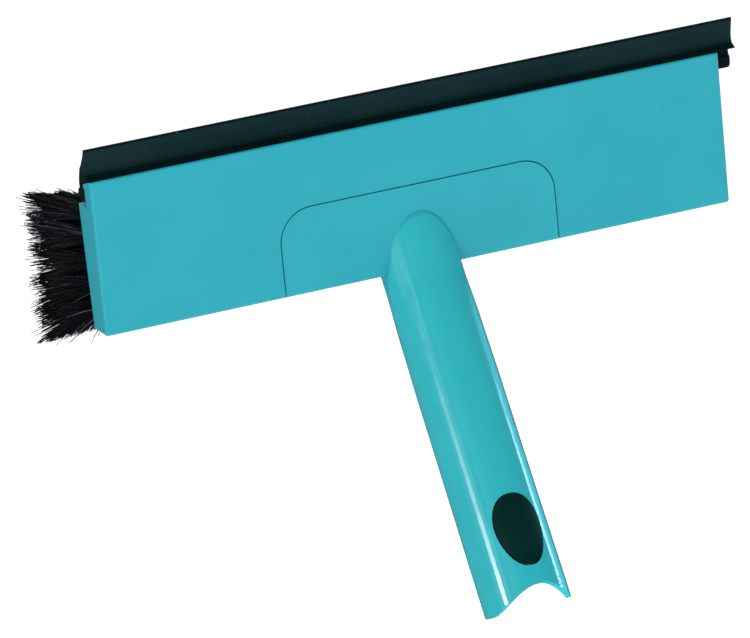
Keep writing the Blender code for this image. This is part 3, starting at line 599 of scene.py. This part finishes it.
def filament_path(root, tip, bend):
    """Points from root to tip: straight out of the slot, then bent towards the tip."""
    stalk = Vector((root.x, root.y + STALK * (tip.y - root.y), root.z))
    middle = stalk.lerp(tip, STALK_TURN) + bend
    points = []
    for i in range(PATH_STEPS):
        t = i / (PATH_STEPS - 1)
        points.append(root * ((1 - t) ** 2) + middle * (2 * t * (1 - t)) + tip * (t * t))
    return points


def add_filament(vertices, faces, points):
    """Adds one thin tapered tube along these points to the lists of vertices and faces."""
    first = len(vertices)
    start = chance.uniform(0, 2 * pi)
    for i, point in enumerate(points):
        ahead = points[min(i + 1, PATH_STEPS - 1)] - points[max(i - 1, 0)]
        side = ahead.cross(Vector((0, 0, 1))).normalized()
        up = side.cross(ahead).normalized()
        radius = FILAMENT_RADIUS * (1 - (1 - TIP_TAPER) * i / (PATH_STEPS - 1))
        for j in range(SIDES):
            turn = start + 2 * pi * j / SIDES
            vertices.append(point + (side * cos(turn) + up * sin(turn)) * radius)
    for i in range(PATH_STEPS - 1):
        for j in range(SIDES):
            a = first + i * SIDES + j
            b = first + i * SIDES + (j + 1) % SIDES
            faces.append((a, a + SIDES, b + SIDES, b))
    last = first + (PATH_STEPS - 1) * SIDES
    faces.append(tuple(range(first, first + SIDES)))
    faces.append(tuple(range(last + SIDES - 1, last - 1, -1)))


def random_root(middle, y, z):
    """A place in the round bunch at this middle, which is wider along its slot."""
    around = chance.uniform(0, 2 * pi)
    off = BUNCH_RADIUS * sqrt(chance.random())
    return Vector((middle + off * BUNCH_STRETCH * cos(around), y, z + off * sin(around)))


def random_bend():
    """An offset of about a millimetre, spread unlike along X, Y and Z."""
    return Vector([chance.gauss(0, spread) for spread in BEND_SPREAD]) * MM


# %% [markdown]
# A row is the same bunch repeated, and only the last four at each end differ. Two short lists say
# how much fuller each of them is and how far it leans. At one end a few filaments have strayed.

# %% One row
TIP_HALF_HEIGHT = 5.9 * MM
END_SPLAY = 22 * MM
REACH = 2.5 * MM
END_FULLNESS = (16, 8, 4, 2)
END_LEAN = (1, 0.7, 0.35, 0.1)
END_LOOSENESS = 1.45
END_RISE = 1.3 * MM
SPLAY_POWER = 0.75
SPLAY_SHORTENING = 0.10
TOP_TRIM = 4.6 * MM
TOP_RISE = 7.5 * MM
ACROSS_SPREAD = 0.7 * MM
LENGTH_SPREAD = 0.012
TRIM_SPREAD = 0.6 * MM
STRAY_SHARE = 0.04
STRAY_LEAN = 0.3
STRAY_ACROSS = 2 * MM
STRAY_SAG = -1 * MM
STRAY_HEIGHT = 2.5 * MM


def at_end(values, from_end, otherwise):
    """The listed value for a bunch this far from the row's end, or the other one further in."""
    return values[from_end] if from_end < len(values) else otherwise


def random_tip(index, box, root, side, outward):
    """Where a filament of this row ends: in the row's fan, and leaning outwards at its ends."""
    low, high = box
    splay = side * (REACH + END_SPLAY) * outward * chance.random() ** SPLAY_POWER
    lean = abs(splay) / (REACH + END_SPLAY)
    loose = 1 + (END_LOOSENESS - 1) * outward
    fan = chance.uniform(-1, 1) * TIP_HALF_HEIGHT * loose
    height = low[2] + TIP_HALF_HEIGHT + index * END_RISE * lean + fan
    ceiling = high[2] + TOP_RISE
    if index == len(ROWS) - 1:
        ceiling = high[2] - TOP_TRIM + TOP_RISE * lean
    across = root.x + splay + chance.gauss(0, ACROSS_SPREAD)
    length = (high[1] - root.y) * chance.gauss(1.0, LENGTH_SPREAD)
    trimmed = max(min(height, ceiling), low[2]) + chance.gauss(0, TRIM_SPREAD)
    return Vector((across, root.y + length - abs(splay) * SPLAY_SHORTENING, trimmed))


def make_row(index, name):
    """The row's bunches as one mesh of filaments, in place of the row's plain solid."""
    low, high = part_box(name)
    root_half = high[0] - END_SPLAY
    count = round(2 * root_half / BUNCH_PITCH)
    vertices, faces = [], []
    for bunch in range(count):
        middle = -root_half + (bunch + 0.5) * 2 * root_half / count
        side = 1 if middle > 0 else -1
        from_end = min(bunch, count - 1 - bunch)
        outward = at_end(END_LEAN, from_end, 0)
        for _ in range(FILAMENTS_PER_BUNCH * at_end(END_FULLNESS, from_end, 1)):
            root = random_root(middle, low[1] + ROOT_INSET, FIRST_ROOT + index * ROOT_PITCH)
            tip = random_tip(index, (low, high), root, side, outward)
            bend = random_bend()
            if side < 0 and outward > STRAY_LEAN and chance.random() < STRAY_SHARE:
                tip.x += chance.gauss(0, STRAY_ACROSS)
                tip.z += chance.gauss(STRAY_SAG, STRAY_HEIGHT)
            add_filament(vertices, faces, filament_path(root, tip, bend))
    mesh = bpy.data.meshes.new(f"{name}_filaments")
    mesh.from_pydata(vertices, [], faces)
    mesh.shade_smooth()
    row = bpy.data.objects.new(f"{name}_filaments", mesh)
    bpy.context.scene.collection.objects.link(row)
    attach(row, "squeegee")
    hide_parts(name)
    print(name, "bunches:", count, "faces:", len(faces))
    return row


bristle_rows = [make_row(index, name) for index, name in enumerate(ROWS)]

# %% [markdown]
# Nylon filament is smooth and black, so what shows is its shine: bundles look streaked with grey
# and blue where single filaments catch the light. Each filament is its own mesh island, and a
# random value per island sets its black and its gloss. The palest few, greyer and bluer, are
# painted highlights for the filaments that catch the light, and they are duller than the rest.

# %% Bristle finish
NYLON_DUST = (0.03, 0.036, 0.045)
# The last two stops are painted highlights: the few filaments that fall there stand for strands
# catching the light.
NYLON_TONES_AND_HIGHLIGHTS = [
    (0.0, (0.0015, 0.0018, 0.0024)),
    (0.80, (0.003, 0.0038, 0.005)),
    (0.92, (0.010, 0.015, 0.024)),
    (1.0, (0.080, 0.105, 0.140)),
]


def bristle_finish():
    """Black nylon, with one tone and gloss for each filament, painted highlights on the palest few,
    and a trace of dust in patches.
    """
    finish = Finish("nylon_filament", Specular_IOR_Level=0.14)
    each = finish.node("ShaderNodeNewGeometry", output="Random Per Island")
    dusty = finish.noise(5 * MM)
    color = finish.ramp(each, NYLON_TONES_AND_HIGHLIGHTS)
    finish.feed("Base Color", finish.blend(dusty * 0.05, color, NYLON_DUST))
    finish.feed("Roughness", 0.26 + 0.22 * each + 0.08 * dusty)
    finish.relief(finish.noise(0.3 * MM, 1), 0.01 * MM, 0.4)
    return finish


nylon = bristle_finish()
for row in bristle_rows:
    row.data.materials.append(nylon.material)
print("nylon on", len(bristle_rows), "rows")
